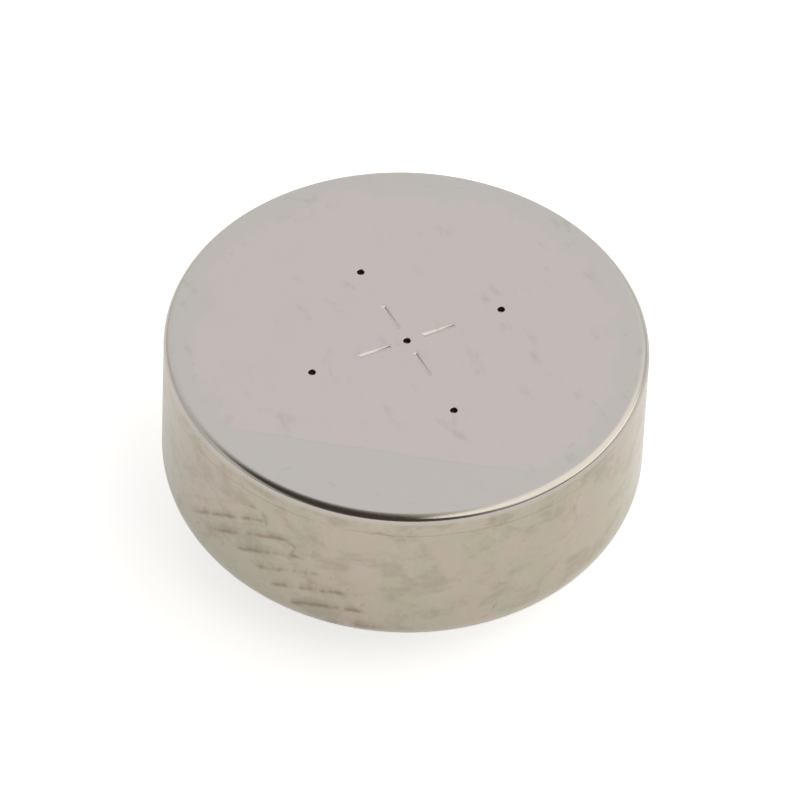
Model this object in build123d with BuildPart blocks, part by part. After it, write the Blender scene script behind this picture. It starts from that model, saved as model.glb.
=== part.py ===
"""Zinc-air button cell of the 11.6 mm size, as an assembly of its eleven pieces.

Frame: millimetres, +Z up along the cell's axis. The origin is the centre of the anode cap's outer
face, which is the negative contact that the cell stands on. The closed end of the cathode can, with
its air holes and stamped plus mark, is the positive contact and faces up. +X runs along one arm of
the plus mark.

The can's open end is bent inwards over the gasket and the shoulder of the cap. The walls of all three
follow one bend centre, so each is given by how far it lies inside the can's outer skin.
"""

import os
from math import atan2, degrees, sqrt

from build123d import *

# Overall sizes
cell_diameter = 11.6
cell_height = 5.4
cap_projection = 0.7  # how far the cap stands out past the crimped end of the can

# Cathode can
can_wall = 0.2
can_floor = 0.25
can_corner = 0.2  # outer round between the closed end and the wall
can_inner_corner = 0.1
crimp_radius = 1.2  # outer bend radius of the crimped end
crimp_sweep = 80.0  # degrees that the wall turns inwards
lip_round = 0.04  # break of the sheared edge
plenum_depth = 0.1  # shallow inner recess that holds the air diffusion paper
seat_width = 0.8  # flat ring around the recess, where the air electrode is clamped

# Air holes and plus mark in the closed end
air_hole_diameter = 0.18
air_hole_circle = 5.03  # diameter of the circle of outer holes
outer_air_holes = 4
mark_arms = 4
mark_inner_radius = 0.42
mark_outer_radius = 1.28
mark_width = 0.12
mark_bottom_width = 0.02
mark_depth = 0.03

# Gasket
gasket_wall = 0.2
gasket_foot = 0.25  # thickness of the ring that clamps the air electrode
gasket_leg = 0.5  # length of the inner leg that steadies the cap's rim
seal_clearance = 0.01  # radial gap drawn between the gasket and the metal or gel beside it

# Anode cap
cap_wall = 0.2
cap_corner = 0.35  # outer round of the contact face
neck_fillet = 0.12
neck_step = 0.14  # neck lies this far inside the crimp's bend centre

# Air electrode and separator stack, thickness of each layer
membrane_thickness = 0.1
backing_thickness = 0.08
catalyst_thickness = 0.3
separator_thickness = 0.04
absorbent_thickness = 0.12
paper_edge_gap = 0.05

# Collector mesh pressed into the catalyst
mesh_pitch = 0.6
mesh_wire = 0.15
mesh_edge_gap = 0.02

# Gelled zinc
expansion_space = 0.45  # free height left over the cap's inner face

# Derived radii
cell_radius = cell_diameter / 2
bore_radius = cell_radius - can_wall
stack_radius = bore_radius - can_inner_corner
plenum_radius = stack_radius - seat_width
gasket_skin = can_wall + seal_clearance
cap_skin = gasket_skin + gasket_wall + seal_clearance
gel_skin = cap_skin + cap_wall + seal_clearance
leg_outer = cell_radius - gel_skin
leg_inner = leg_outer - gasket_wall

# Bend centre shared by can, gasket and cap
bend_r = cell_radius - crimp_radius
bend_z = cap_projection + crimp_radius
neck_radius = bend_r - neck_step

# Derived heights, from the closed end down
face_z = cell_height
seat_z = face_z - can_floor
membrane_z = seat_z - membrane_thickness
backing_z = membrane_z - backing_thickness
catalyst_z = backing_z - catalyst_thickness
separator_z = catalyst_z - separator_thickness
absorbent_z = separator_z - absorbent_thickness
rim_z = absorbent_z - gasket_foot
leg_z = rim_z - gasket_leg

os.makedirs("parts", exist_ok=True)


def wall_radius(skin):
    """Radius of a straight wall that lies skin inside the can's outer face."""
    return cell_radius - skin


def bend_radius(skin):
    """Bend radius of the same wall where it follows the crimp."""
    return crimp_radius - skin


def cap_form(skin, bottom_z, corner, top_z):
    """Half section of the stepped form of the cap, skin inside the can's outer face."""
    neck = neck_radius + cap_skin - skin
    shoulder_z = bend_z - bend_radius(skin)
    with BuildSketch(Plane.XZ) as section:
        with BuildLine():
            FilletPolyline(
                (0, bottom_z),
                (neck, bottom_z),
                (neck, shoulder_z),
                (wall_radius(skin), shoulder_z),
                (wall_radius(skin), top_z),
                (0, top_z),
                radius=(corner, neck_fillet + skin - cap_skin, bend_radius(skin), 0),
            )
            Line((0, top_z), (0, bottom_z))
        make_face()
    return section.sketch


# Cathode can: one drawn sheet, crimped at its open end
with BuildPart() as cathode_can:
    with BuildSketch(Plane.XZ):
        with BuildLine():
            corner_arc = CenterArc((cell_radius - can_corner, face_z - can_corner), can_corner, 90, -90)
            outer_bend = CenterArc((bend_r, bend_z), crimp_radius, 0, -crimp_sweep)
            inner_bend = CenterArc((bend_r, bend_z), bend_radius(can_wall), -crimp_sweep, crimp_sweep)
            seat_arc = CenterArc((stack_radius, seat_z - can_inner_corner), can_inner_corner, 0, 90)
            Line(corner_arc @ 1, outer_bend @ 0)
            Line(outer_bend @ 1, inner_bend @ 0)
            Line(inner_bend @ 1, seat_arc @ 0)
            Polyline(
                seat_arc @ 1,
                (plenum_radius, seat_z),
                (plenum_radius, seat_z + plenum_depth),
                (0, seat_z + plenum_depth),
                (0, face_z),
                corner_arc @ 0,
            )
        make_face()
    revolve(axis=Axis.Z)
    sheared_edges = edges().filter_by(GeomType.CIRCLE).sort_by(Axis.Z)[:2]
    fillet(sheared_edges, lip_round)
    with BuildSketch(Plane.XY.offset(face_z)):
        Circle(air_hole_diameter / 2)
        with PolarLocations(air_hole_circle / 2, outer_air_holes):
            Circle(air_hole_diameter / 2)
    extrude(amount=-can_floor, mode=Mode.SUBTRACT)
    with BuildSketch(Plane.XY.offset(face_z)):
        with PolarLocations((mark_inner_radius + mark_outer_radius) / 2, mark_arms):
            Rectangle(mark_outer_radius - mark_inner_radius, mark_width)
    flank_angle = degrees(atan2((mark_width - mark_bottom_width) / 2, mark_depth))
    extrude(amount=-mark_depth, taper=flank_angle, mode=Mode.SUBTRACT)

# Gasket: J-section grommet, foot up against the air electrode, lip bent under the cap's shoulder
with BuildPart() as gasket:
    with BuildSketch(Plane.XZ):
        with BuildLine():
            outer_side = Line((wall_radius(gasket_skin), absorbent_z), (wall_radius(gasket_skin), bend_z))
            outer_bend = CenterArc((bend_r, bend_z), bend_radius(gasket_skin), 0, -90)
            inner_bend = CenterArc((bend_r, bend_z), bend_radius(gasket_skin + gasket_wall), -90, 90)
            Line(outer_bend @ 1, inner_bend @ 0)
            Polyline(
                inner_bend @ 1,
                (wall_radius(gasket_skin + gasket_wall), rim_z),
                (leg_outer, rim_z),
                (leg_outer, leg_z),
                (leg_inner, leg_z),
                (leg_inner, absorbent_z),
                outer_side @ 0,
            )
        make_face()
    revolve(axis=Axis.Z)

# Anode cap: one stepped cup, its rim seated in the gasket's channel
with BuildPart() as anode_cap:
    revolve(cap_form(cap_skin, 0, cap_corner, rim_z), axis=Axis.Z)
    hollow = cap_form(cap_skin + cap_wall, cap_wall, cap_corner - cap_wall, rim_z)
    revolve(hollow, axis=Axis.Z, mode=Mode.SUBTRACT)

# Gelled zinc: fills the cap up to the absorbent layer, less its expansion space
with BuildPart() as zinc_anode:
    revolve(cap_form(gel_skin, cap_wall + expansion_space, 0, leg_z), axis=Axis.Z)
    with BuildSketch(Plane.XY.offset(leg_z)):
        Circle(leg_inner - seal_clearance)
    extrude(amount=absorbent_z - leg_z)

# Air diffusion paper in the can's inner recess
with BuildPart() as air_diffusion_paper:
    with BuildSketch(Plane.XY.offset(seat_z)):
        Circle(plenum_radius - paper_edge_gap)
    extrude(amount=plenum_depth)

# Loose water-repellent film under the paper
with BuildPart() as air_membrane:
    with BuildSketch(Plane.XY.offset(membrane_z)):
        Circle(stack_radius)
    extrude(amount=membrane_thickness)

# Film laminated to the air electrode
with BuildPart() as backing_film:
    with BuildSketch(Plane.XY.offset(backing_z)):
        Circle(stack_radius)
    extrude(amount=backing_thickness)

# Collector mesh: flattened wires, cut to a round outline that reaches the can's bore
with BuildPart() as collector_mesh:
    mesh_radius = bore_radius - mesh_edge_gap
    wires_each_side = int((mesh_radius - mesh_wire) / mesh_pitch)
    with BuildSketch(Plane.XY.offset(catalyst_z)):
        for index in range(-wires_each_side, wires_each_side + 1):
            place = index * mesh_pitch
            reach = sqrt(mesh_radius**2 - (abs(place) + mesh_wire / 2) ** 2)
            with Locations((0, place)):
                Rectangle(2 * reach, mesh_wire)
            with Locations((place, 0)):
                Rectangle(mesh_wire, 2 * reach)
    extrude(amount=mesh_wire)

# Catalyst: carbon layer pressed around the mesh, level with its lower side
with BuildPart() as catalyst_disc:
    with BuildSketch(Plane.XY.offset(catalyst_z)):
        Circle(stack_radius)
    extrude(amount=catalyst_thickness)
    add(collector_mesh.part, mode=Mode.SUBTRACT)

# Barrier film against the catalyst
with BuildPart() as separator_film:
    with BuildSketch(Plane.XY.offset(separator_z)):
        Circle(stack_radius)
    extrude(amount=separator_thickness)

# Non-woven layer that wets the barrier film from the gel
with BuildPart() as absorbent_layer:
    with BuildSketch(Plane.XY.offset(absorbent_z)):
        Circle(stack_radius)
    extrude(amount=absorbent_thickness)

pieces = {
    "cathode_can": cathode_can,
    "air_diffusion_paper": air_diffusion_paper,
    "air_membrane": air_membrane,
    "backing_film": backing_film,
    "catalyst_disc": catalyst_disc,
    "collector_mesh": collector_mesh,
    "separator_film": separator_film,
    "absorbent_layer": absorbent_layer,
    "gasket": gasket,
    "zinc_anode": zinc_anode,
    "anode_cap": anode_cap,
}
for name, piece in pieces.items():
    piece.part.label = name
    export_step(piece.part, f"parts/{name}.step")
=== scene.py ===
"""Finished look of a zinc-air button cell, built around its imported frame.

The file is laid out as an add-on and is run as a script. Pieces are worked out in millimetres about the
cell's axis and stored in metres, in the frame of the CAD nodes: +Z up the axis, the negative cap below,
the closed end of the can with its air holes on top, +X along one arm of the plus mark.
"""

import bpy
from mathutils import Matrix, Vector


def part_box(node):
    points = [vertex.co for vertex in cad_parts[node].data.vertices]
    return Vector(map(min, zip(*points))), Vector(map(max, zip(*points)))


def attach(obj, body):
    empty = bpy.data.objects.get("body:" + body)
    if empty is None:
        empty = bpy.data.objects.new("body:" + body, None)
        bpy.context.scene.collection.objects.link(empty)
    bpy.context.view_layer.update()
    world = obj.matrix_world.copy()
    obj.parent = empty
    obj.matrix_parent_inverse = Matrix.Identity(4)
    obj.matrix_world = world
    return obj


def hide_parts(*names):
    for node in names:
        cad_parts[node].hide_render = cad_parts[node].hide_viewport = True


bl_info = {
    "name": "Zinc-Air Button Cell",
    "version": (1, 0, 0),
    "blender": (4, 5, 0),
    "location": "View3D > Sidebar > Button Cell",
    "description": "Builds the finished pieces of a zinc-air button cell around its frame",
    "category": "Object",
}

from math import acos, asin, atan2, cos, degrees, pi, radians, sin, tan
from types import SimpleNamespace

import bmesh
import bpy
from bpy.props import FloatProperty, FloatVectorProperty, IntProperty, PointerProperty
from mathutils import Matrix, Vector
from mathutils.geometry import delaunay_2d_cdt

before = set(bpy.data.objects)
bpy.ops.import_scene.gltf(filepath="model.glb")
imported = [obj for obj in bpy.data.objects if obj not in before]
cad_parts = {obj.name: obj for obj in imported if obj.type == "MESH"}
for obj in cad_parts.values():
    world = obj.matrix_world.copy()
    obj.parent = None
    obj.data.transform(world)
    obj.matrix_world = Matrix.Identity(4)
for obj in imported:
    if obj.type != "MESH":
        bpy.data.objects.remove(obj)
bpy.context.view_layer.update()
BODY = "root"
MM = 0.001


def reach(node):
    """Outer radius of a round CAD node, in metres."""
    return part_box(node)[1].x


def low(node):
    """Height of a CAD node's underside, in metres."""
    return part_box(node)[0].z


def high(node):
    """Height of a CAD node's upper side, in metres."""
    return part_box(node)[1].z


# ---- Properties ----


def length(name, description, default):
    """A length that a user may change, shown in the scene's units."""
    return FloatProperty(
        name=name, description=description, default=default, min=0.0, precision=5,
        unit="LENGTH", subtype="DISTANCE",
    )


def colour(name, description, default):
    """A linear colour that a user may change."""
    return FloatVectorProperty(
        name=name, description=description, default=default, min=0.0, max=1.0, size=3, subtype="COLOR"
    )


def count(name, description, default, least):
    """A number of things that a user may change."""
    return IntProperty(name=name, description=description, default=default, min=least)


class CellSizes(bpy.types.PropertyGroup):
    """Lengths of the pieces. Those that the frame shows are read from it."""

    can_radius: length("Can radius", "Outer radius of the can", reach("cathode_can"))
    face_height: length("Face height", "Height of the vented face", high("cathode_can"))
    can_wall: length("Can wall", "Thickness of the drawn sheet", 0.2 * MM)
    can_corner: length("Can corner", "Outer round between face and wall", 0.2 * MM)
    inner_corner: length("Inner corner", "Inner round between seat and bore", 0.1 * MM)
    crimp_radius: length("Crimp radius", "Outer bend radius of the crimped end", 1.2 * MM)
    cap_projection: length("Cap projection", "How far the cap stands out of the crimp", 0.7 * MM)
    lip_round: length("Lip round", "Break of the sheared edge", 0.04 * MM)
    seat_height: length("Seat height", "Underside of the can's floor", high("air_membrane"))
    recess_height: length("Recess height", "Top of the paper's recess", high("air_diffusion_paper"))
    recess_radius: length("Recess radius", "Radius of the recess", reach("air_diffusion_paper") + 0.05 * MM)
    hole_radius: length("Hole radius", "Radius of an air hole", 0.09 * MM)
    hole_circle: length("Hole circle", "Radius of the circle of outer holes", 2.515 * MM)
    hole_edge: length("Hole edge", "Rolled edge of an air hole", 0.012 * MM)
    mark_inner: length("Mark inner end", "Inner end of an arm of the plus mark", 0.42 * MM)
    mark_outer: length("Mark outer end", "Outer end of an arm of the plus mark", 1.28 * MM)
    mark_width: length("Mark width", "Width of an arm at the face", 0.12 * MM)
    mark_bottom: length("Mark bottom width", "Width of an arm at its bottom", 0.02 * MM)
    mark_depth: length("Mark depth", "Depth of the stamped arms", 0.03 * MM)
    gasket_radius: length("Gasket radius", "Outer radius of the gasket", reach("gasket"))
    gasket_wall: length("Gasket wall", "Thickness of the gasket", 0.2 * MM)
    gasket_top: length("Gasket top", "Upper side of the gasket's foot", high("gasket"))
    gasket_leg: length("Gasket leg", "Length of the inner leg", 0.5 * MM)
    cap_radius: length("Cap radius", "Outer radius of the cap's rim", reach("anode_cap"))
    cap_rim: length("Cap rim", "Height of the cap's rim", high("anode_cap"))
    cap_wall: length("Cap wall", "Thickness of the cap's sheet", 0.2 * MM)
    cap_corner: length("Cap corner", "Outer round of the contact face", 0.35 * MM)
    neck_step: length("Neck step", "How far the neck lies inside the bend centre", 0.14 * MM)
    neck_fillet: length("Neck fillet", "Round between neck and shoulder", 0.12 * MM)
    zinc_radius: length("Zinc radius", "Outer radius of the gelled zinc", reach("zinc_anode"))
    zinc_low: length("Zinc underside", "Free surface over the expansion space", low("zinc_anode"))
    seal_clearance: length("Seal clearance", "Gap drawn beside the gasket", 0.01 * MM)
    mesh_radius: length("Mesh radius", "Radius of the collector mesh", reach("collector_mesh"))
    mesh_low: length("Mesh underside", "Height of the mesh's underside", low("collector_mesh"))
    mesh_high: length("Mesh top", "Height of the mesh's top", high("collector_mesh"))
    mesh_pitch: length("Mesh pitch", "Distance between wires", 0.6 * MM)


class CellColours(bpy.types.PropertyGroup):
    """Colours of the finishes, as linear values."""

    # Painted reflection: face and bare face are one nickel in two tones, the lighter, pinker face tone for
    # a zone of the vented face.
    face: colour("Face", "Nickel of the vented face, under a thin film from its tab", (0.61, 0.55, 0.54))
    bare_face: colour("Bare face", "Nickel of the face where no film lies", (0.57, 0.54, 0.51))
    # Painted reflection: wall and wall tint are the same nickel as the face, set darker and warmer; the
    # mottling between them is the wall's own.
    wall: colour("Wall", "Nickel of the can's wall", (0.55, 0.482, 0.405))
    wall_green: colour("Wall tint", "Second tone of the wall's mottling", (0.505, 0.478, 0.383))
    stain: colour("Stain", "Brownish cast in patches of the wall", (0.36, 0.30, 0.24))
    scuff: colour("Scuffs", "Brown rub marks on the wall", (0.30, 0.235, 0.175))
    # Painted shade: the sheared edge is near black, much darker than bare steel, for the shade inside the
    # air holes.
    shaded_steel_edge: colour("Sheared edge", "Bare steel of punched and sheared edges", (0.060, 0.052, 0.043))
    cap: colour("Cap", "Nickel face of the clad cap", (0.66, 0.62, 0.57))
    copper: colour("Copper", "Copper lining of the cap", (0.80, 0.42, 0.30))
    nylon: colour("Gasket", "Natural nylon", (0.68, 0.64, 0.53))
    zinc: colour("Zinc", "Gelled zinc powder", (0.105, 0.11, 0.12))
    carbon: colour("Carbon", "Pressed carbon catalyst", (0.012, 0.012, 0.013))
    wire: colour("Mesh wire", "Nickel-plated wire", (0.52, 0.49, 0.45))
    paper: colour("Paper", "Air diffusion paper", (0.70, 0.66, 0.57))
    film: colour("Film", "Waxy white fluoropolymer", (0.85, 0.85, 0.83))
    separator: colour("Separator", "Microporous barrier film", (0.78, 0.78, 0.75))
    absorbent: colour("Absorbent", "Non-woven fibre", (0.74, 0.72, 0.67))
    floor: colour("Floor", "Pale floor of the studio", (0.80, 0.80, 0.79))


class CellDetail(bpy.types.PropertyGroup):
    """How finely the pieces are made."""

    around: count("Segments around", "Segments of a turned piece", 512, 64)
    hole_segments: count("Hole segments", "Segments of an air hole", 40, 12)
    outer_holes: count("Outer holes", "Air holes on the circle", 4, 0)
    mark_arms: count("Mark arms", "Arms of the plus mark", 4, 0)
    crimp_sweep: FloatProperty(
        name="Crimp sweep", description="Angle that the can's wall turns inwards",
        default=radians(80), subtype="ANGLE",
    )


def in_mm(context):
    """All lengths of the cell, in millimetres, with the bend centre that its three walls share."""
    group = context.scene.cell_sizes
    sizes = SimpleNamespace(**{name: getattr(group, name) / MM for name in CellSizes.__annotations__})
    sizes.bend_r = sizes.can_radius - sizes.crimp_radius
    sizes.bend_z = sizes.cap_projection + sizes.crimp_radius
    return sizes


# ---- Meshes ----


def spaced(start, end, steps):
    """Evenly spaced numbers from start to end, both included."""
    return [start + (end - start) * i / steps for i in range(steps + 1)]


def arc(centre, radius, start, end, steps):
    """Points of an arc in the half section, with its angles in degrees from +R towards +Z."""
    return [
        (centre[0] + radius * cos(radians(a)), centre[1] + radius * sin(radians(a)))
        for a in spaced(start, end, steps)
    ]


def rounded(corners, steps=10):
    """An outline through (r, z, round) corners, each corner cut by an arc of its own radius."""
    outline = []
    for index, (r, z, radius) in enumerate(corners):
        here = Vector((r, z))
        if radius == 0:
            outline.append(tuple(here))
            continue
        before = (Vector(corners[index - 1][:2]) - here).normalized()
        after = (Vector(corners[(index + 1) % len(corners)][:2]) - here).normalized()
        half = acos(max(-1.0, min(1.0, before.dot(after)))) / 2
        centre = here + (before + after).normalized() * (radius / sin(half))
        first = here + before * (radius / tan(half)) - centre
        last = here + after * (radius / tan(half)) - centre
        start = degrees(atan2(first.y, first.x))
        turn = (degrees(atan2(last.y, last.x)) - start + 180) % 360 - 180
        outline += arc(centre, radius, start, start + turn, steps)
    return outline


class Shell:
    """Points in millimetres and faces of one piece, gathered before its mesh is made."""

    def __init__(self):
        self.points = []
        self.faces = []
        self.slots = []

    def ring(self, outline, z):
        """Adds the points of a flat closed outline at height z."""
        first = len(self.points)
        self.points += [(x, y, z) for x, y in outline]
        return list(range(first, len(self.points)))

    def join(self, upper, lower, slot=0):
        """Adds the band of faces between two rings with as many points."""
        for i, a in enumerate(upper):
            j = (i + 1) % len(upper)
            self.face((a, upper[j], lower[j], lower[i]), slot)

    def face(self, corners, slot=0):
        """Adds one face."""
        self.faces.append(corners)
        self.slots.append(slot)

    def turn(self, outline, around, slot=0, closed=False, bands=None):
        """Turns a half-section outline about the axis and returns its first and last rings."""
        circle = [(cos(2 * pi * i / around), sin(2 * pi * i / around)) for i in range(around)]
        rings = [
            self.ring([(r * x, r * y) for x, y in circle], z) if r > 0 else self.ring([(0, 0)], z)
            for r, z in outline
        ]
        for index, (upper, lower) in enumerate(zip(rings, rings[1:] + rings[:1])):
            if index == len(rings) - 1 and not closed:
                break
            use = slot if bands is None else bands(index)
            if len(upper) == len(lower):
                self.join(upper, lower, use)
                continue
            pole, rim = (upper, lower) if len(upper) == 1 else (lower, upper)
            for i in range(around):
                self.face((pole[0], rim[i], rim[(i + 1) % around]), use)
        return rings[0], rings[-1]

    def plate(self, border, openings, slot=0):
        """Fills the flat region inside the border ring and outside each opening ring."""
        rings = [border, *openings]
        used = [i for ring in rings for i in ring]
        flat = [Vector(self.points[i][:2]) for i in used]
        edges, first = [], 0
        for ring in rings:
            edges += [(first + k, first + (k + 1) % len(ring)) for k in range(len(ring))]
            first += len(ring)
        verts, _, triangles, origin, _, _ = delaunay_2d_cdt(flat, edges, [], 1, 1e-7)
        outlines = [[Vector(self.points[i][:2]) for i in ring] for ring in openings]
        for triangle in triangles:
            middle = sum((verts[k] for k in triangle), Vector((0, 0))) / 3
            if not any(inside(middle, outline) for outline in outlines):
                self.face(tuple(used[origin[k][0]] for k in triangle), slot)

    def piece(self, name, materials, record_slot, sharp=35.0):
        """Makes the piece: faces outwards, smooth but for its sharp edges, riding on the cell's body."""
        mesh = bpy.data.meshes.new(name)
        mesh.from_pydata([Vector(p) * MM for p in self.points], [], self.faces)
        mesh.polygons.foreach_set("material_index", self.slots)
        work = bmesh.new()
        work.from_mesh(mesh)
        bmesh.ops.delete(work, geom=[v for v in work.verts if not v.link_faces], context="VERTS")
        bmesh.ops.recalc_face_normals(work, faces=work.faces)
        open_edges = sum(not e.is_manifold for e in work.edges)
        if open_edges:
            raise RuntimeError(f"{name} has {open_edges} open edges")
        work.to_mesh(mesh)
        work.free()
        mesh.shade_smooth()
        mesh.set_sharp_from_angle(angle=radians(sharp))
        return place(name, mesh, materials)


def inside(point, outline):
    """Whether a flat point lies inside a closed outline."""
    found = False
    for a, b in zip(outline, outline[1:] + outline[:1]):
        if (a.y > point.y) != (b.y > point.y):
            found ^= point.x < a.x + (point.y - a.y) * (b.x - a.x) / (b.y - a.y)
    return found


def place(name, mesh, materials):
    """Links a finished mesh as a piece that rides on the cell's body."""
    for material in materials:
        mesh.materials.append(material)
    piece = bpy.data.objects.new(name, mesh)
    bpy.context.scene.collection.objects.link(piece)
    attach(piece, BODY)
    return piece


# ---- Node trees ----


class Socket:
    """An output of a node tree. Arithmetic on it adds Math nodes, so 1 - mask works."""

    def __init__(self, tree, output):
        self.tree = tree
        self.output = output

    def math(self, operation, *terms, clamp=False):
        """One Math node on the given terms."""
        return self.tree.node(
            "ShaderNodeMath", {"operation": operation, "use_clamp": clamp}, dict(enumerate(terms))
        )

    def __add__(self, other):
        return self.math("ADD", self, other)

    def __sub__(self, other):
        return self.math("SUBTRACT", self, other)

    def __rsub__(self, other):
        return self.math("SUBTRACT", other, self)

    def __mul__(self, other):
        return self.math("MULTIPLY", self, other)

    def __truediv__(self, other):
        return self.math("DIVIDE", self, other)

    def __pow__(self, other):
        return self.math("POWER", self, other)

    def __abs__(self):
        return self.math("ABSOLUTE", self)

    __radd__ = __add__
    __rmul__ = __mul__


class Tree:
    """A node tree that is written as Python expressions."""

    def __init__(self, node_tree):
        self.nodes = node_tree.nodes
        self.links = node_tree.links

    def node(self, kind, settings=None, sockets=None, output=0):
        """Adds a node: its settings first, then the values or links of its sockets."""
        made = self.nodes.new(kind)
        for name, value in (settings or {}).items():
            setattr(made, name, value)
        for key, value in (sockets or {}).items():
            socket = made.inputs[key]
            if isinstance(value, Socket):
                self.links.new(value.output, socket)
            else:
                socket.default_value = value
        return Socket(self, made.outputs[output]) if made.outputs else None

    def step(self, value, start, end):
        """A smooth rise from 0 at start to 1 at end."""
        return self.node(
            "ShaderNodeMapRange", {"interpolation_type": "SMOOTHSTEP"},
            {"Value": value, "From Min": start, "From Max": end},
        )

    def mix(self, share, first, second):
        """A colour between two colours."""
        return self.node(
            "ShaderNodeMix", {"data_type": "RGBA"}, {0: share, 6: rgba(first), 7: rgba(second)}, output=2
        )

    def layers(self, shade, *coats):
        """A colour under coats, each of them a share and a colour, laid on in order."""
        for share, tone in coats:
            shade = self.mix(share, shade, tone)
        return shade

    def stretch(self, vector, scale, turn=(0.0, 0.0, 0.0)):
        """The vector scaled and then turned, for stretched patterns."""
        return self.node("ShaderNodeMapping", {}, {"Vector": vector, "Rotation": turn, "Scale": scale})

    def noise(self, vector, scale, detail=3.0, rough=0.5, warp=0.0):
        """Soft noise about 0.5, with its scale in features per millimetre."""
        return self.node(
            "ShaderNodeTexNoise", {"noise_dimensions": "3D"},
            {"Vector": vector, "Scale": scale, "Detail": detail, "Roughness": rough, "Distortion": warp},
        )

    def cells(self, vector, scale, feature="F1", output=0):
        """Random cells, with their scale in cells per millimetre."""
        sockets = {"Vector": vector, "Scale": scale}
        return self.node("ShaderNodeTexVoronoi", {"feature": feature}, sockets, output)

    def dot(self, vector, direction):
        """How far the vector reaches in a fixed direction."""
        sockets = {0: vector, 1: direction}
        return self.node("ShaderNodeVectorMath", {"operation": "DOT_PRODUCT"}, sockets, output=1)

    def split(self, vector):
        """The three parts of a vector."""
        made = self.node("ShaderNodeSeparateXYZ", {}, {0: vector})
        return [Socket(self, made.output.node.outputs[i]) for i in range(3)]

    def join(self, x, y, z):
        """A vector of three values."""
        return self.node("ShaderNodeCombineXYZ", {}, {0: x, 1: y, 2: z})


def toned(tone, share):
    """A colour at a share of its strength."""
    return [share * part for part in tone]


def rgba(value):
    """A colour with its alpha, or the link as it is."""
    return value if isinstance(value, Socket) else (*value[:3], 1.0)


class Finish(Tree):
    """A material whose patterns are placed in millimetres in the cell's frame."""

    def __init__(self, name):
        self.material = bpy.data.materials.new(name)
        self.material.use_nodes = True
        super().__init__(self.material.node_tree)
        self.nodes.clear()
        object_place = self.node("ShaderNodeTexCoord", output="Object")
        self.place = self.node(
            "ShaderNodeVectorMath", {"operation": "SCALE"}, {0: object_place, "Scale": 1 / MM}
        )
        self.x, self.y, self.z = self.split(self.place)
        self.radius = (self.x * self.x + self.y * self.y) ** 0.5
        self.angle = self.x.math("ARCTAN2", self.y, self.x)

    def patches(self, start, end, scale, detail, rough=0.5, warp=0.0, stretch=(1.0, 1.0, 1.0), turn=0.0):
        """Random patches with soft edges: noise that is cut between two levels."""
        lie = self.place
        if turn or stretch != (1.0, 1.0, 1.0):
            lie = self.stretch(lie, stretch, (0.0, 0.0, turn))
        return self.step(self.noise(lie, scale, detail, rough, warp), start, end)

    def bump(self, height_mm):
        """A normal from a height in millimetres."""
        return self.node("ShaderNodeBump", {}, {"Strength": 1.0, "Distance": MM, "Height": height_mm})

    def surface(self, **sockets):
        """Ends the material in one Principled shader and returns it."""
        named = {key.replace("_", " "): value for key, value in sockets.items()}
        named["Base Color"] = rgba(named["Base Color"])
        shader = self.node("ShaderNodeBsdfPrincipled", {}, named)
        self.node("ShaderNodeOutputMaterial", {}, {"Surface": shader})
        return self.material


# ---- Finishes ----


REFLECTION_EDGE = 3.69  # distance of the painted reflection zone's straight edge from the axis, mm
REFLECTION_EDGE_TURN = radians(-126)


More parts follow.
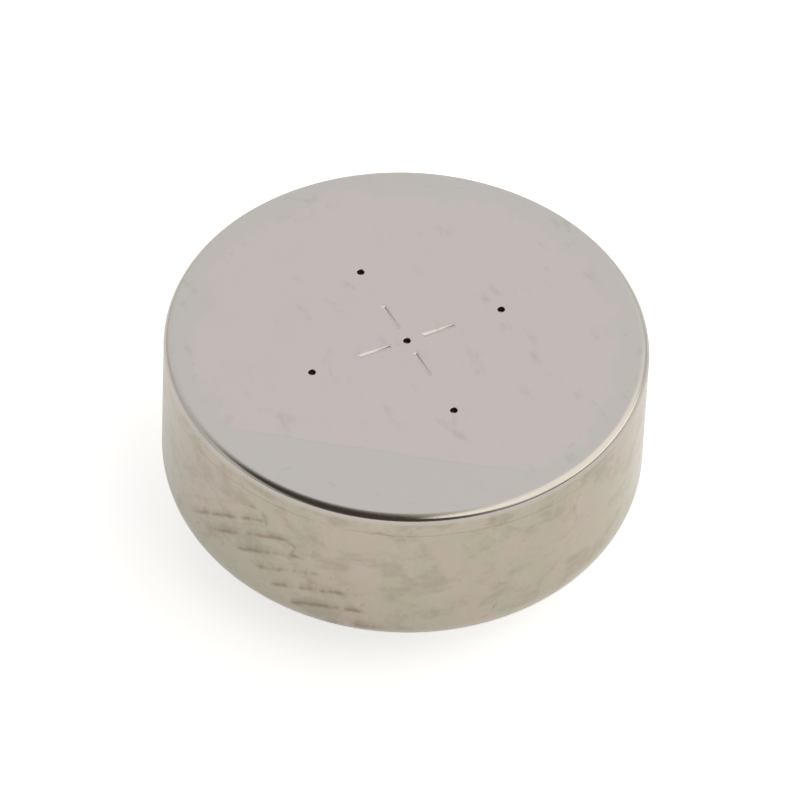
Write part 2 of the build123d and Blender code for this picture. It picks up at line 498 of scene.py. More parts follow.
def can_outside(colours, sizes):
    """Nickel-plated face and wall of the can: satin and lightly handled; the face carries a lighter zone of
    painted reflection, and the wall is painted darker and warmer than the face as reflection of the floor.
    """
    finish = Finish("can_nickel")
    face = finish.step(finish.z, sizes.face_height - 0.05, sizes.face_height - 0.006)
    rim = finish.step(finish.z, sizes.face_height - 0.30, sizes.face_height - 0.18) * (1 - face)

    # Face: a lighter, pinker zone of painted reflection ends in a ragged round edge and, on one side, along
    # a straight line, which carries a thin painted darker line
    drift = finish.noise(finish.place, 0.55, 2.0) - 0.5
    nicks = finish.noise(finish.place, 2.4, 4.0, 0.7) - 0.5
    reflection_zone_round = 1 - finish.step(finish.radius + drift * 1.6 + nicks * 0.9, 4.75, 5.35)
    along = finish.x * cos(REFLECTION_EDGE_TURN) + finish.y * sin(REFLECTION_EDGE_TURN) + drift * 0.25
    reflection_zone_side = 1 - finish.step(along, REFLECTION_EDGE - 0.12, REFLECTION_EDGE + 0.12)
    blotch = finish.patches(0.50, 0.62, 0.9, 2.5, 0.55)
    # Painted reflection: a thin darker line along the zone's straight edge.
    reflection_edge_line = 1 - finish.step(abs(along - REFLECTION_EDGE), 0.0, 0.05)
    reflection_edge_line = reflection_edge_line * (1 - finish.step(finish.radius, 4.6, 5.2))
    # Darker patches in a band near the face's edge.
    edge_band_darkening = finish.patches(0.60, 0.72, 2.8, 3.0, 0.6, 0.6) * finish.step(finish.radius, 4.7, 5.1)
    smudge = finish.patches(0.55, 0.72, 1.5, 4.0, 0.60, 0.1, (1.3, 0.75, 1.0), 0.9)
    gathered = finish.patches(0.42, 0.56, 0.42, 1.0)
    face_marks_and_painted_reflection = finish.layers(
        colours.bare_face,
        (reflection_zone_round * reflection_zone_side * (1 - blotch * 0.40), colours.face),
        (reflection_edge_line * 0.16, (0.40, 0.39, 0.37)),
        (edge_band_darkening * 0.22, (0.40, 0.40, 0.36)),
        (smudge * gathered * reflection_zone_side * 0.30, (0.38, 0.385, 0.35)),
    )

    # Wall: a base nickel painted darker and warmer than the face as reflection, with uneven tones, drawing
    # lines, smears, rub marks, small spots, a line below the rim and a painted highlight tint on the rim
    unrolled = finish.join(finish.angle * sizes.can_radius, finish.z, 0.0)
    tone = finish.patches(0.36, 0.62, 0.75, 4.0, 0.62, 0.7, (1.0, 1.0, 0.7))
    drawn = finish.noise(finish.stretch(unrolled, (9.0, 0.30, 1.0)), 1.0, 3.0, 0.65)
    slanted = finish.stretch(unrolled, (2.4, 0.85, 1.0), (0.0, 0.0, radians(-24)))
    smear = finish.step(finish.noise(slanted, 1.0, 4.0, 0.68, 0.9), 0.60, 0.72)
    line = 1 - finish.step(abs(finish.z + drift * 0.12 - (sizes.face_height - 0.60)), 0.0, 0.035)
    broken = finish.step(finish.noise(finish.stretch(unrolled, (0.5, 0.1, 1.0)), 1.0, 2.0), 0.36, 0.56)
    wall_marks_and_painted_light = finish.layers(
        colours.wall_green,
        (tone, colours.wall),
        (finish.patches(0.45, 0.64, 1.0, 5.0, 0.66, 0.3, (1.0, 1.0, 1.5)) * 0.42, colours.stain),
        (finish.patches(0.54, 0.72, 1.7, 4.0, 0.6, 0.3, (1.2, 1.2, 0.5)) * 0.30, colours.bare_face),
        (finish.step(drawn, 0.35, 0.85) * 0.05, colours.scuff),
        (smear * finish.patches(0.44, 0.60, 0.45, 1.0) * 0.34, colours.scuff),
        (rub_marks(finish) * 0.70, colours.scuff),
        (finish.patches(0.66, 0.74, 1.45, 3.0, 0.6, 0.8) * 0.45, colours.scuff),
        (line * broken * 0.34, colours.scuff),
        # Painted highlight: the rounded rim is tinted toward the paler face nickel so that its highlight
        # renders whiter.
        (rim * 0.7, colours.bare_face),
    )

    grain = finish.noise(finish.place, 14.0, 3.0, 0.6)
    ripple = finish.noise(finish.place, 0.9, 2.0, 0.5)
    height = grain * 0.00022 + ripple * 0.0032 * (1 - face) + drawn * 0.0004 * (1 - face)
    rough = 0.20 + face * 0.12 - rim * 0.07 + smudge * face * 0.05
    rough = rough + (grain - 0.5) * 0.05 + (tone - 0.5) * 0.03 * (1 - face)
    # Painted reflection: the wall's nickel is darker and warmer than the face's, though both are one
    # plating.
    return finish.surface(
        Base_Color=finish.mix(face, wall_marks_and_painted_light, face_marks_and_painted_reflection), Metallic=1.0, Roughness=rough,
        Normal=finish.bump(height),
    )


def towards(azimuth, elevation):
    """Unit vector from the cell's centre at that azimuth and elevation, in degrees."""
    a, e = radians(azimuth), radians(elevation)
    return Vector((sin(a) * cos(e), -cos(a) * cos(e), sin(e)))


RUB_ACROSS = towards(146.0, 43.5)  # the strokes lie in parallel planes, square to this
RUB_ALONG = towards(62.0, -3.0)
RUB_PITCH = 0.37  # distance between strokes, mm


def rub_marks(finish):
    """Broken brown strokes on one side of the wall, each lower one further round."""
    along = finish.dot(finish.place, RUB_ALONG)
    across = finish.dot(finish.place, RUB_ACROSS)
    wobble = finish.noise(finish.join(along * 2.6, across * 1.2, 2.0), 1.0, 4.0, 0.7) - 0.5
    phase = (across + wobble * 0.13) / RUB_PITCH
    row = phase.math("FLOOR", phase)
    height = phase.math("FRACT", phase)
    core = (1 - finish.step(abs(height - 0.5), 0.04, 0.17)) * 0.75
    line = core + (1 - finish.step(abs(height - 0.62), 0.05, 0.38)) * 0.45
    patchy = finish.noise(finish.join(along * 2.2, row * 5.3, 7.0), 1.0, 3.0, 0.6)
    centre = (across + 2.05) * -1.3 - 2.7
    reach_out = finish.noise(finish.join(row * 3.7, 1.0, 3.0), 1.0, 1.0) * 1.1 + 0.30
    within = 1 - finish.step(abs(along - centre) / reach_out, 0.75, 1.10)
    rows = 1 - finish.step(abs(across + 2.05), 1.25, 1.55)
    return line * finish.step(patchy, 0.34, 0.58) * within * rows


def sheared_edge(colours):
    """Bare steel of the punched holes, near black as painted shade inside them."""
    finish = Finish("can_sheared_edge")
    streak = finish.noise(finish.stretch(finish.place, (30.0, 30.0, 2.0)), 1.0, 3.0)
    shade = finish.mix(streak, colours.shaded_steel_edge, toned(colours.shaded_steel_edge, 1.7))
    return finish.surface(
        Base_Color=shade, Metallic=0.6, Roughness=0.45 + streak * 0.2, Normal=finish.bump(streak * 0.002)
    )


def can_inside(colours):
    """Plain nickel of the can's inner side."""
    finish = Finish("can_inside")
    grain = finish.noise(finish.place, 9.0, 4.0, 0.6)
    return finish.surface(
        Base_Color=finish.mix(grain, colours.bare_face, colours.wall), Metallic=1.0,
        Roughness=0.30 + grain * 0.10, Normal=finish.bump(grain * 0.0006),
    )


def cap_nickel(colours):
    """Bright nickel of the cap, with faint rings from its forming tool and a few handling marks."""
    finish = Finish("cap_nickel")
    rings = finish.noise(finish.join(finish.radius * 16.0, finish.z * 16.0, 0.0), 1.0, 3.0, 0.6)
    cloud = finish.noise(finish.place, 0.7, 3.0, 0.55)
    mark = finish.patches(0.64, 0.76, 1.6, 3.0, stretch=(1.4, 0.5, 1.0), turn=0.7)
    shade = finish.mix(finish.step(cloud, 0.35, 0.65) * 0.5, colours.cap, colours.wall)
    shade = finish.mix(mark * 0.22, shade, colours.scuff)
    return finish.surface(
        Base_Color=shade, Metallic=1.0, Roughness=0.19 + rings * 0.08 + mark * 0.06,
        Normal=finish.bump(rings * 0.0009 + cloud * 0.002),
    )


def cap_copper(colours):
    """Copper lining of the clad cap."""
    finish = Finish("cap_copper")
    cloud = finish.noise(finish.place, 1.1, 4.0, 0.6)
    shade = finish.mix(finish.step(cloud, 0.4, 0.7), colours.copper, toned(colours.copper, 0.72))
    return finish.surface(
        Base_Color=shade, Metallic=1.0, Roughness=0.28 + cloud * 0.14, Normal=finish.bump(cloud * 0.002)
    )


def gasket_nylon(colours, sizes):
    """Milky natural nylon, a little darker towards the bottom."""
    finish = Finish("gasket_nylon")
    cloud = finish.noise(finish.place, 1.6, 3.0, 0.55)
    skin = finish.noise(finish.place, 18.0, 2.0, 0.6)
    # Darker towards the bottom.
    lower_darkening = 1 - finish.step(finish.z, sizes.cap_projection + 0.15, sizes.cap_projection + 0.5)
    shade = finish.mix(finish.step(cloud, 0.35, 0.7) * 0.5, colours.nylon, toned(colours.nylon, 0.86))
    shade = finish.mix(lower_darkening * 0.25, shade, toned(colours.nylon, 0.7))
    return finish.surface(
        Base_Color=shade, Roughness=0.42 + skin * 0.12, Subsurface_Weight=0.25, Subsurface_Scale=0.2 * MM,
        Normal=finish.bump(skin * 0.0012 + cloud * 0.004),
    )


def zinc_gel(colours):
    """Wet zinc powder: angular grains of uneven tone held in a clear gel."""
    finish = Finish("zinc_powder_gel")
    grain = finish.cells(finish.place, 9.0)
    tone = finish.split(finish.cells(finish.place, 9.0, output=1))[0]
    shade = finish.mix(tone, colours.zinc, toned(colours.zinc, 3.2))
    return finish.surface(
        Base_Color=shade, Metallic=0.35 + tone * 0.5, Roughness=0.30 + tone * 0.25, Coat_Weight=0.5,
        Coat_Roughness=0.12, Normal=finish.bump((1 - grain) * 0.03),
    )


def carbon_black(colours):
    """Pressed carbon: matt black with fine grit."""
    finish = Finish("pressed_carbon")
    grit = finish.noise(finish.place, 20.0, 5.0, 0.7)
    press = finish.noise(finish.place, 2.2, 3.0, 0.5)
    shade = finish.mix(finish.step(grit, 0.5, 0.75), colours.carbon, toned(colours.carbon, 3.5))
    return finish.surface(
        Base_Color=shade, Roughness=0.70 + press * 0.2, Normal=finish.bump(grit * 0.006 + press * 0.004)
    )


def mesh_wire(colours):
    """Drawn, plated wire with faint die lines and patches of carbon dust."""
    finish = Finish("mesh_wire")
    line = finish.noise(finish.place, 22.0, 3.0, 0.65)
    dust = finish.step(finish.noise(finish.place, 4.0, 3.0, 0.6), 0.5, 0.7)
    shade = finish.mix(dust * 0.5, colours.wire, toned(colours.wire, 0.25))
    return finish.surface(
        Base_Color=shade, Metallic=1.0 - dust * 0.3, Roughness=0.30 + line * 0.15 + dust * 0.15,
        Normal=finish.bump(line * 0.0008),
    )


def fibres(finish, scale, length_ratio, turns):
    """Crossing fibres: the brightest of several stretched noises, each turned its own way."""
    sheet = None
    for turn in turns:
        lie = finish.stretch(finish.place, (1.0, length_ratio, 1.0), (0.0, 0.0, radians(turn)))
        strand = finish.noise(lie, scale, 2.0, 0.6, 0.4)
        sheet = strand if sheet is None else strand.math("MAXIMUM", sheet, strand)
    return sheet


def paper(colours):
    """Soft filter paper with short crossing fibres."""
    finish = Finish("diffusion_paper")
    sheet = fibres(finish, 9.0, 0.16, (12, 57, 104, 149))
    shade = finish.mix(finish.step(sheet, 0.5, 0.78), toned(colours.paper, 0.84), colours.paper)
    return finish.surface(Base_Color=shade, Roughness=0.88 - sheet * 0.06, Normal=finish.bump(sheet * 0.02))


def white_film(name, tone, grain_mm):
    """A smooth white film: waxy, with a faint stretch grain."""
    finish = Finish(name)
    grain = finish.noise(finish.stretch(finish.place, (6.0, 1.2, 6.0)), 1.0, 3.0, 0.6)
    cloud = finish.noise(finish.place, 0.8, 3.0, 0.5)
    shade = finish.mix(finish.step(cloud, 0.3, 0.7), toned(tone, 0.93), tone)
    return finish.surface(
        Base_Color=shade, Roughness=0.46 + grain * 0.14, Subsurface_Weight=0.2, Subsurface_Scale=0.1 * MM,
        Normal=finish.bump(grain * grain_mm),
    )


def absorbent_fibre(colours):
    """Non-woven layer of long loose fibres."""
    finish = Finish("absorbent_fibre")
    sheet = fibres(finish, 6.0, 0.08, (0, 36, 73, 111, 142))
    shade = finish.mix(finish.step(sheet, 0.52, 0.8), toned(colours.absorbent, 0.72), colours.absorbent)
    return finish.surface(Base_Color=shade, Roughness=0.86, Normal=finish.bump(sheet * 0.04))


# ---- Pieces ----


def polar_points(radius, segments):
    """A circle of points about the origin."""
    return [
        (radius * cos(2 * pi * i / segments), radius * sin(2 * pi * i / segments)) for i in range(segments)
    ]


SUPPORT = 0.015  # flat band that keeps the face's shading level beside a round, mm


def build_can(sizes, detail):
    """The drawn can with its crimped end, recess, air holes and stamped plus mark."""
    shell = Shell()
    sweep = degrees(detail.crimp_sweep)
    bend = (sizes.bend_r, sizes.bend_z)
    inner = sizes.crimp_radius - sizes.can_wall
    bore = sizes.can_radius - sizes.can_wall

    def on_bend(radius, angle):
        return arc(bend, radius, angle, angle, 1)[0]

    lip_out = -sweep + degrees(asin(sizes.lip_round / (sizes.crimp_radius - sizes.lip_round)))
    lip_in = -sweep + degrees(asin(sizes.lip_round / (inner + sizes.lip_round)))
    outer_lip = on_bend(sizes.crimp_radius - sizes.lip_round, lip_out)
    inner_lip = on_bend(inner + sizes.lip_round, lip_in)
    corner_r = sizes.can_radius - sizes.can_corner
    corner_z = sizes.face_height - sizes.can_corner
    outside = (
        [(corner_r - 0.04, sizes.face_height)]
        + arc((corner_r, corner_z), sizes.can_corner, 90, 0, 14)
        + [(sizes.can_radius, z) for z in spaced(corner_z, sizes.bend_z, 12)[1:-1]]
        + arc(bend, sizes.crimp_radius, 0, lip_out, 28)
        + arc(outer_lip, sizes.lip_round, lip_out, -sweep - 90, 5)[1:]
    )
    inside_line = (
        arc(inner_lip, sizes.lip_round, -sweep - 90, lip_in - 180, 5)
        + arc(bend, inner, lip_in, 0, 20)[1:]
        + arc(
            (bore - sizes.inner_corner, sizes.seat_height - sizes.inner_corner),
            sizes.inner_corner, 0, 90, 8,
        )
        + [(sizes.recess_radius, sizes.seat_height), (sizes.recess_radius, sizes.recess_height)]
    )
    last_outside = len(outside) - 1
    face_edge, ceiling_edge = shell.turn(
        outside + inside_line, detail.around, bands=lambda index: 2 if index > last_outside else 0
    )

    outermost = sizes.hole_radius + sizes.hole_edge
    rolled = arc((outermost, sizes.face_height - sizes.hole_edge), sizes.hole_edge, 90, 180, 3)
    section = [(outermost + SUPPORT, sizes.face_height), *rolled]
    section.append((sizes.hole_radius, sizes.recess_height))
    face_openings, ceiling_openings = [], []
    for cx, cy in [(0.0, 0.0), *polar_points(sizes.hole_circle, detail.outer_holes)]:
        rings = [
            shell.ring([(cx + x, cy + y) for x, y in polar_points(radius, detail.hole_segments)], z)
            for radius, z in section
        ]
        for upper, lower in zip(rings, rings[1:]):
            shell.join(upper, lower, 1 if lower is rings[-1] else 0)
        face_openings.append(rings[0])
        ceiling_openings.append(rings[-1])

    for arm in range(detail.mark_arms):
        turn = 2 * pi * arm / detail.mark_arms
        face_openings.append(stamp_arm(shell, sizes, turn))
    shell.plate(face_edge, face_openings)
    shell.plate(ceiling_edge, ceiling_openings, slot=2)
    return shell


def stamp_arm(shell, sizes, turn):
    """One stamped arm of the plus mark: sunk flanks with softened shoulders. Returns its outer ring."""
    shoulder = 0.014
    levels = [
        (-shoulder - SUPPORT, 0.0),
        (-shoulder, 0.0),
        (-shoulder * 0.3, 0.0018),
        (shoulder * 0.6, 0.0085),
        ((sizes.mark_width - sizes.mark_bottom) / 2, sizes.mark_depth),
    ]
    rings = []
    for inset, depth in levels:
        near, far = sizes.mark_inner + inset, sizes.mark_outer - inset
        half = sizes.mark_width / 2 - inset
        corners = [(near, -half), (far, -half), (far, half), (near, half)]
        turned = [(x * cos(turn) - y * sin(turn), x * sin(turn) + y * cos(turn)) for x, y in corners]
        rings.append(shell.ring(turned, sizes.face_height - depth))
    for upper, lower in zip(rings, rings[1:]):
        shell.join(upper, lower)
    shell.face(tuple(rings[-1]))
    return rings[0]


def cap_corners(sizes, inset, bottom, top):
    """Corners of the cap's stepped form, inset from its outer skin, from the axis outwards and up."""
    bend = sizes.crimp_radius - (sizes.can_radius - sizes.cap_radius) - inset
    shoulder = sizes.bend_z - bend
    neck = sizes.bend_r - sizes.neck_step - inset
    return [
        (0, bottom, 0),
        (neck, bottom, sizes.cap_corner - inset),
        (neck, shoulder, sizes.neck_fillet + inset),
        (sizes.cap_radius - inset, shoulder, bend),
        (sizes.cap_radius - inset, top, 0),
    ]


def build_cap(sizes, detail):
    """The stepped cap: nickel outside, copper inside, one folded sheet."""
    shell = Shell()
    outside = rounded(cap_corners(sizes, 0.0, 0.0, sizes.cap_rim), 14)
    inside_line = rounded(cap_corners(sizes, sizes.cap_wall, sizes.cap_wall, sizes.cap_rim), 14)[::-1]
    last_outside = len(outside) - 1
    shell.turn(outside + inside_line, detail.around, bands=lambda index: 1 if index > last_outside else 0)
    return shell


def build_gasket(sizes, detail):
    """The J-section gasket, its lip bent under the cap's shoulder."""
    shell = Shell()
    bend = (sizes.bend_r, sizes.bend_z)
    outer = sizes.gasket_radius - sizes.bend_r
    inner = outer - sizes.gasket_wall
    leg_outer, leg_inner = sizes.zinc_radius, sizes.zinc_radius - sizes.gasket_wall
    lip = 0.06
    lip_tilt = degrees(asin(lip / (outer - lip)))
    outline = (
        arc(bend, outer, 0, -90 + lip_tilt, 24)
        + arc(arc(bend, outer - lip, -90 + lip_tilt, -90, 1)[0], lip, -90 + lip_tilt, -180, 6)[1:]
        + arc(arc(bend, inner + lip, -90 + lip_tilt, -90, 1)[0], lip, -180, -270 + lip_tilt, 6)
        + arc(bend, inner, -90 + lip_tilt, 0, 20)[1:]
        + rounded(
            [
                (sizes.gasket_radius - sizes.gasket_wall, sizes.cap_rim, 0),
                (leg_outer, sizes.cap_rim, 0),
                (leg_outer, sizes.cap_rim - sizes.gasket_leg, 0.03),
                (leg_inner, sizes.cap_rim - sizes.gasket_leg, 0.03),
                (leg_inner, sizes.gasket_top, 0.03),
                (sizes.gasket_radius, sizes.gasket_top, 0.05),
                (sizes.gasket_radius, sizes.bend_z + 0.1, 0),
            ],
            5,
        )
    )
    shell.turn(outline, detail.around, closed=True)
    return shell


def build_zinc(sizes, detail):
    """The gelled zinc, filling the cap but for its expansion space."""
    shell = Shell()
    inset = sizes.cap_radius - sizes.zinc_radius
    top = sizes.cap_rim - sizes.gasket_leg
    corners = cap_corners(sizes, inset, sizes.zinc_low, top)
    neck = corners[1]
    corners[1] = (neck[0], neck[1], 0)
    inner = sizes.zinc_radius - sizes.gasket_wall - sizes.seal_clearance
    outline = rounded(corners, 12) + [(inner, top), (inner, sizes.gasket_top), (0, sizes.gasket_top)]
    shell.turn(outline, detail.around // 2)
    return shell


def build_layer(node, detail):
    """A thin cut disc with slightly broken edges, in the place of its node."""
    bottom, top = low(node) / MM, high(node) / MM
    edge = (top - bottom) * 0.2
    shell = Shell()
    radius = reach(node) / MM
    outline = rounded([(0, bottom, 0), (radius, bottom, edge), (radius, top, edge), (0, top, 0)], 3)
    shell.turn(outline, detail.around // 2)
    return shell


def woven_mesh_tree():
    """Geometry nodes that weave two sets of round wires inside a circle."""
    tree = bpy.data.node_groups.new("Woven mesh", "GeometryNodeTree")
    sockets = [
        ("Pitch", "NodeSocketFloat"),
        ("Wire", "NodeSocketFloat"),
        ("Radius", "NodeSocketFloat"),
        ("Level", "NodeSocketFloat"),
        ("Material", "NodeSocketMaterial"),
    ]
    for name, kind in sockets:
        tree.interface.new_socket(name, in_out="INPUT", socket_type=kind)
    tree.interface.new_socket("Mesh", in_out="OUTPUT", socket_type="NodeSocketGeometry")
    weave = Tree(tree)
    given = weave.node("NodeGroupInput").output.node
    pitch, wire, radius, level, material = [Socket(weave, given.outputs[i]) for i in range(5)]

    each_side = pitch.math("FLOOR", (radius - wire * 2) / pitch)
    rows = weave.node(
        "GeometryNodeMeshLine", {},
        {
            "Count": each_side * 2 + 1,
            "Start Location": weave.join(0.0, each_side * pitch * -1, 0.0),
            "Offset": weave.join(0.0, pitch, 0.0),
        },
    )
    line = weave.node(
        "GeometryNodeCurvePrimitiveLine", {},
        {"Start": weave.join(radius * -1, 0.0, 0.0), "End": weave.join(radius, 0.0, 0.0)},
    )
    line = weave.node(
        "GeometryNodeResampleCurve", {"mode": "LENGTH"}, {"Curve": line, "Length": pitch / 10}
    )
    laid = weave.node("GeometryNodeInstanceOnPoints", {}, {"Points": rows, "Instance": line})
    laid = weave.node("GeometryNodeRealizeInstances", {}, {0: laid})
    crossed = weave.node("GeometryNodeTransform", {}, {"Geometry": laid, "Rotation": (0.0, 0.0, pi / 2)})
    place_x, place_y, _ = weave.split(weave.node("GeometryNodeInputPosition"))
    wave = (place_x * pi / pitch).math("COSINE", place_x * pi / pitch) * place_y.math(
        "COSINE", place_y * pi / pitch
    )
    outside = (place_x * place_x + place_y * place_y).math(
        "GREATER_THAN", place_x * place_x + place_y * place_y, radius * radius
    )
    section = weave.node("GeometryNodeCurvePrimitiveCircle", {}, {"Resolution": 8, "Radius": wire / 2})
    woven = []
    for flat, side in ((laid, 0.5), (crossed, -0.5)):
        cut = weave.node(
            "GeometryNodeDeleteGeometry", {"domain": "POINT"}, {"Geometry": flat, "Selection": outside}
        )
        raised = weave.node(
            "GeometryNodeSetPosition", {},
            {"Geometry": cut, "Offset": weave.join(0.0, 0.0, wave * wire * side + level)},
        )
        woven.append(
            weave.node(
                "GeometryNodeCurveToMesh", {},
                {"Curve": raised, "Profile Curve": section, "Fill Caps": True},
            )
        )
    both = weave.node("GeometryNodeJoinGeometry", {}, {0: woven[0]})
    weave.links.new(woven[1].output, both.output.node.inputs[0])
    smooth = weave.node("GeometryNodeSetShadeSmooth", {}, {0: both})
    real = weave.node("GeometryNodeRealizeInstances", {}, {0: smooth})
    done = weave.node("GeometryNodeSetMaterial", {}, {"Geometry": real, "Material": material})
    weave.node("NodeGroupOutput", {}, {0: done})
    return tree


def build_mesh(sizes, material):
    """Runs the weaving nodes and returns the plain mesh."""
    tree = woven_mesh_tree()
    given = {
        "Pitch": sizes.mesh_pitch * MM,
        "Wire": (sizes.mesh_high - sizes.mesh_low) / 2 * MM,
        "Radius": (sizes.mesh_radius - 0.02) * MM,
        "Level": (sizes.mesh_high + sizes.mesh_low) / 2 * MM,
        "Material": material,
    }
    source = bpy.data.objects.new("woven_source", bpy.data.meshes.new("woven_source"))
    bpy.context.scene.collection.objects.link(source)
    weave = source.modifiers.new("Weave", "NODES")
    weave.node_group = tree
    for item in tree.interface.items_tree:
        if item.in_out == "INPUT":
            weave[item.identifier] = given[item.name]
    bpy.context.view_layer.update()
    evaluated = source.evaluated_get(bpy.context.evaluated_depsgraph_get())
    mesh = bpy.data.meshes.new_from_object(evaluated)
    mesh.name = "collector_mesh_woven"
    source.modifiers.remove(weave)
    bpy.data.objects.remove(source)
    return mesh


# ---- Operators ----


def settings(context):
    """Sizes in millimetres, colours and detail of the scene."""
    return in_mm(context), context.scene.cell_colours, context.scene.cell_detail


class BUTTONCELL_OT_can(bpy.types.Operator):
    """Build the nickel-plated can with its air holes and plus mark"""

    bl_idname = "button_cell.can"
    bl_label = "Can"
    bl_options = {"REGISTER", "UNDO"}

    def execute(self, context):
        """Makes the can in place of its node."""
        sizes, colours, detail = settings(context)
        materials = [can_outside(colours, sizes), sheared_edge(colours), can_inside(colours)]
        can = build_can(sizes, detail).piece("cathode_can_plated", materials, "nickel_plated_steel")
        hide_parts("cathode_can")
        return {"FINISHED"}


class BUTTONCELL_OT_cap(bpy.types.Operator):
    """Build the stepped negative cap"""

    bl_idname = "button_cell.cap"
    bl_label = "Cap"
    bl_options = {"REGISTER", "UNDO"}

    def execute(self, context):
        """Makes the cap in place of its node."""
        sizes, colours, detail = settings(context)
        materials = [cap_nickel(colours), cap_copper(colours)]
        cap = build_cap(sizes, detail).piece("anode_cap_clad", materials, "clad_steel")
        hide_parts("anode_cap")
        return {"FINISHED"}


class BUTTONCELL_OT_gasket(bpy.types.Operator):
    """Build the insulating gasket between can and cap"""

    bl_idname = "button_cell.gasket"
    bl_label = "Gasket"
    bl_options = {"REGISTER", "UNDO"}

    def execute(self, context):
        """Makes the gasket in place of its node."""
        sizes, colours, detail = settings(context)
        materials = [gasket_nylon(colours, sizes)]
        gasket = build_gasket(sizes, detail).piece("gasket_moulded", materials, "nylon", 50.0)
        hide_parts("gasket")
        return {"FINISHED"}


class BUTTONCELL_OT_zinc(bpy.types.Operator):
    """Build the gelled zinc that fills the cap"""

    bl_idname = "button_cell.zinc"
    bl_label = "Gelled Zinc"
    bl_options = {"REGISTER", "UNDO"}

    def execute(self, context):
        """Makes the zinc in place of its node."""
        sizes, colours, detail = settings(context)
        zinc = build_zinc(sizes, detail).piece("zinc_anode_gel", [zinc_gel(colours)], "zinc_gel")
        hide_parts("zinc_anode")
        return {"FINISHED"}


class BUTTONCELL_OT_layers(bpy.types.Operator):
    """Build the paper, films and fibre layer, and finish the catalyst"""

    bl_idname = "button_cell.layers"
    bl_label = "Layers"
    bl_options = {"REGISTER", "UNDO"}

    def execute(self, context):
        """Makes each disc in place of its node; the catalyst keeps its node and gets its finish."""
        sizes, colours, detail = settings(context)
        film = white_film("fluoropolymer_film", colours.film, 0.003)
        layers = {
            "air_diffusion_paper": (paper(colours), "diffusion_paper"),
            "air_membrane": (film, "white_film"),
            "backing_film": (film, "white_film"),
            "separator_film": (white_film("separator_film", colours.separator, 0.001), "separator"),
            "absorbent_layer": (absorbent_fibre(colours), "absorbent"),
        }
        for node, (material, record_slot) in layers.items():
            disc = build_layer(node, detail).piece(f"{node}_cut", [material], record_slot)
            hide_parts(node)
        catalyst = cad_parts["catalyst_disc"]
        catalyst.data.materials.clear()
        catalyst.data.materials.append(carbon_black(colours))
        return {"FINISHED"}


class BUTTONCELL_OT_mesh(bpy.types.Operator):
    """Weave the collector mesh inside the catalyst"""

    bl_idname = "button_cell.mesh"
    bl_label = "Collector Mesh"
    bl_options = {"REGISTER", "UNDO"}

    def execute(self, context):
        """Makes the woven mesh in place of its node."""
        sizes, colours, detail = settings(context)
        material = mesh_wire(colours)
        woven = place("collector_mesh_woven", build_mesh(sizes, material), [])
        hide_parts("collector_mesh")
        return {"FINISHED"}


CAMERA_AZIMUTH = -28.03
CAMERA_ELEVATION = 46.33
CAMERA_ROLL = 2.56
CAMERA_DISTANCE = 213.0 * MM
CAMERA_LENS = 402.0
AIM_LEFT = 0.165 * MM  # the aim lies this far left of the face's centre in the picture plane
AIM_BELOW = 1.415 * MM


def set_camera(face_height):
    """A long lens that looks down on the vented face."""
    back = towards(CAMERA_AZIMUTH, CAMERA_ELEVATION)
    turn = (-back).to_track_quat("-Z", "Y").to_matrix() @ Matrix.Rotation(radians(CAMERA_ROLL), 3, "Z")
    aim = Vector((0, 0, face_height)) - turn.col[0] * AIM_LEFT - turn.col[1] * AIM_BELOW
    data = bpy.data.cameras.new("camera")
    data.lens = CAMERA_LENS
    data.clip_start, data.clip_end = 0.01, 100.0
    camera = bpy.data.objects.new("camera", data)
    camera.matrix_world = Matrix.Translation(aim + back * CAMERA_DISTANCE) @ turn.to_4x4()
    bpy.context.scene.collection.objects.link(camera)
    bpy.context.scene.camera = camera


SKY = 0.70
# Soft patches of the sky: turn from the camera's azimuth, elevation, inner and outer angle, colour
SKY_PATCHES = (
    (180, 44, 28, 54, (0.90, 0.90, 0.90)),
    (98, 20, 12, 30, (1.7, 1.64, 1.5)),
    (-5, 58, 43, 60, (0.075, 0.065, 0.053)),
)


def soft_patch(sky, direction, azimuth, elevation, inner, outer):
    """A round soft patch of the sky: 1 within inner degrees of its centre, 0 past outer degrees."""
    facing = sky.dot(direction, towards(azimuth, elevation))
    return sky.step(facing, cos(radians(outer)), cos(radians(inner)))


def light_studio():
    """A soft studio: a broad light behind the cell, a warm panel at its right, a dark side in front."""
    world = bpy.data.worlds.new("studio")
    world.use_nodes = True
    bpy.context.scene.world = world
    sky = Tree(world.node_tree)
    sky.nodes.clear()
    direction = sky.node("ShaderNodeTexCoord", output="Generated")
    _, _, rise = sky.split(direction)
    shade = (SKY, SKY, SKY)
    for turn, height, inner, outer, tone in SKY_PATCHES:
        share = soft_patch(sky, direction, CAMERA_AZIMUTH + turn, height, inner, outer)
        shade = sky.mix(share, shade, tone)
    sideways = sky.dot(direction, towards(CAMERA_AZIMUTH + 90, 0))
    panel = soft_patch(sky, direction, CAMERA_AZIMUTH + 80, 64, 36, 50) * sky.step(sideways, 0.10, 0.22)
    shade = sky.mix(panel, shade, (1.42, 1.39, 1.31))
    front = soft_patch(sky, direction, CAMERA_AZIMUTH + 25, 0, 70, 105)
    shade = sky.mix((1 - sky.step(rise, 0.10, 0.26)) * front * 0.9, shade, (0.08, 0.068, 0.055))
    shade = sky.mix(1 - sky.step(rise, 0.0, 0.03), shade, (1.0, 1.0, 1.0))
    light = sky.node("ShaderNodeBackground", {}, {"Color": shade, "Strength": 1.0})
    sky.node("ShaderNodeOutputWorld", {}, {"Surface": light})


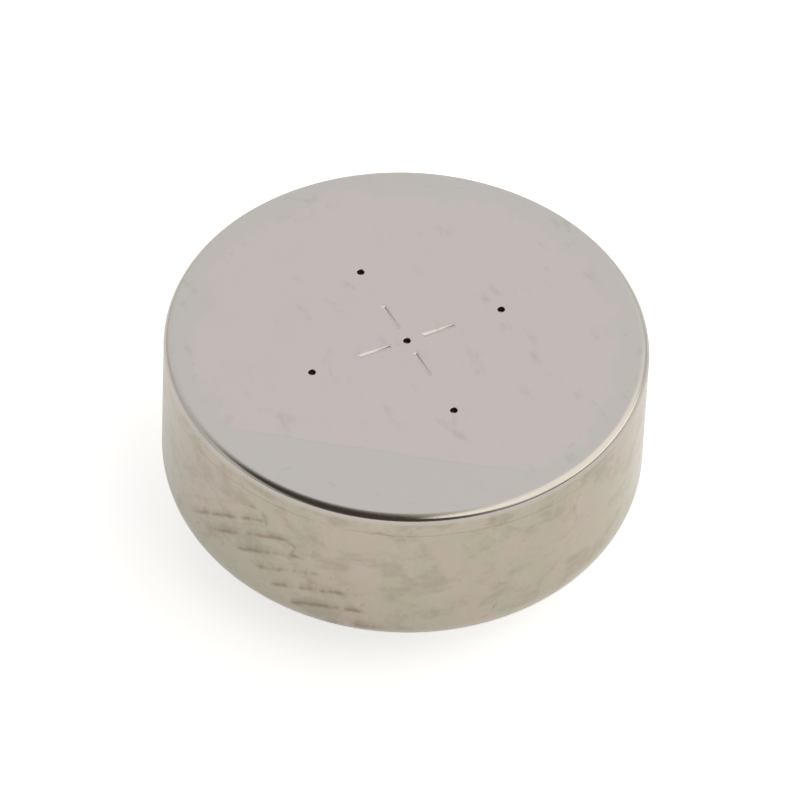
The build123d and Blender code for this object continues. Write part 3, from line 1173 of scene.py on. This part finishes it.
def lay_floor(colours):
    """A wide pale floor, which shows some white of its own, so that it stays pale beside a shadow."""
    finish = Finish("studio_floor")
    path = finish.node("ShaderNodeLightPath").output.node
    rays = ("Is Camera Ray", "Is Glossy Ray", "Is Transmission Ray")
    camera, glossy, through = (Socket(finish, path.outputs[name]) for name in rays)
    seen = camera * 0.66 + glossy * 0.38 + through * 0.66
    matt = finish.node("ShaderNodeBsdfDiffuse", {}, {"Color": (*colours.floor, 1.0)})
    glow = finish.node("ShaderNodeEmission", {}, {"Color": (1.0, 1.0, 1.0, 1.0), "Strength": seen})
    both = finish.node("ShaderNodeAddShader", {}, {0: matt, 1: glow})
    finish.node("ShaderNodeOutputMaterial", {}, {"Surface": both})
    mesh = bpy.data.meshes.new("floor")
    edge = [(x * 4.0, y * 4.0, 0.0) for x, y in polar_points(1.0, 96)]
    mesh.from_pydata(edge, [], [tuple(range(len(edge)))])
    mesh.materials.append(finish.material)
    floor = bpy.data.objects.new("floor", mesh)
    bpy.context.scene.collection.objects.link(floor)


class BUTTONCELL_OT_stage(bpy.types.Operator):
    """Set the camera, the soft studio light and the pale floor"""

    bl_idname = "button_cell.stage"
    bl_label = "Stage"
    bl_options = {"REGISTER", "UNDO"}

    def execute(self, context):
        """Makes the stage, which isn't part of the cell."""
        sizes, colours, detail = settings(context)
        bpy.context.scene.view_settings.view_transform = "Standard"
        set_camera(sizes.face_height * MM)
        light_studio()
        lay_floor(colours)
        return {"FINISHED"}


class BUTTONCELL_PT_pieces(bpy.types.Panel):
    """Lists the pieces of the cell in the sidebar"""

    bl_idname = "BUTTONCELL_PT_pieces"
    bl_label = "Button Cell"
    bl_space_type = "VIEW_3D"
    bl_region_type = "UI"
    bl_category = "Button Cell"

    def draw(self, context):
        """Shows one button for each operator, and the sizes and colours below."""
        for operator in OPERATORS:
            self.layout.operator(operator.bl_idname)
        for group in (context.scene.cell_sizes, context.scene.cell_colours, context.scene.cell_detail):
            box = self.layout.box()
            for name in type(group).__annotations__:
                box.prop(group, name)


OPERATORS = (
    BUTTONCELL_OT_can,
    BUTTONCELL_OT_cap,
    BUTTONCELL_OT_gasket,
    BUTTONCELL_OT_zinc,
    BUTTONCELL_OT_layers,
    BUTTONCELL_OT_mesh,
    BUTTONCELL_OT_stage,
)
GROUPS = {"cell_sizes": CellSizes, "cell_colours": CellColours, "cell_detail": CellDetail}


def register():
    """Registers the classes and hangs the property groups on the scene."""
    for cls in (*GROUPS.values(), *OPERATORS, BUTTONCELL_PT_pieces):
        bpy.utils.register_class(cls)
    for name, group in GROUPS.items():
        setattr(bpy.types.Scene, name, PointerProperty(type=group))


def unregister():
    """Takes the property groups and classes away again."""
    for name in GROUPS:
        delattr(bpy.types.Scene, name)
    for cls in reversed((*GROUPS.values(), *OPERATORS, BUTTONCELL_PT_pieces)):
        bpy.utils.unregister_class(cls)


def main():
    """Builds the cell and its stage."""
    register()
    bpy.ops.button_cell.can()
    bpy.ops.button_cell.cap()
    bpy.ops.button_cell.gasket()
    bpy.ops.button_cell.zinc()
    bpy.ops.button_cell.layers()
    bpy.ops.button_cell.mesh()
    bpy.ops.button_cell.stage()


if __name__ == "__main__":
    main()
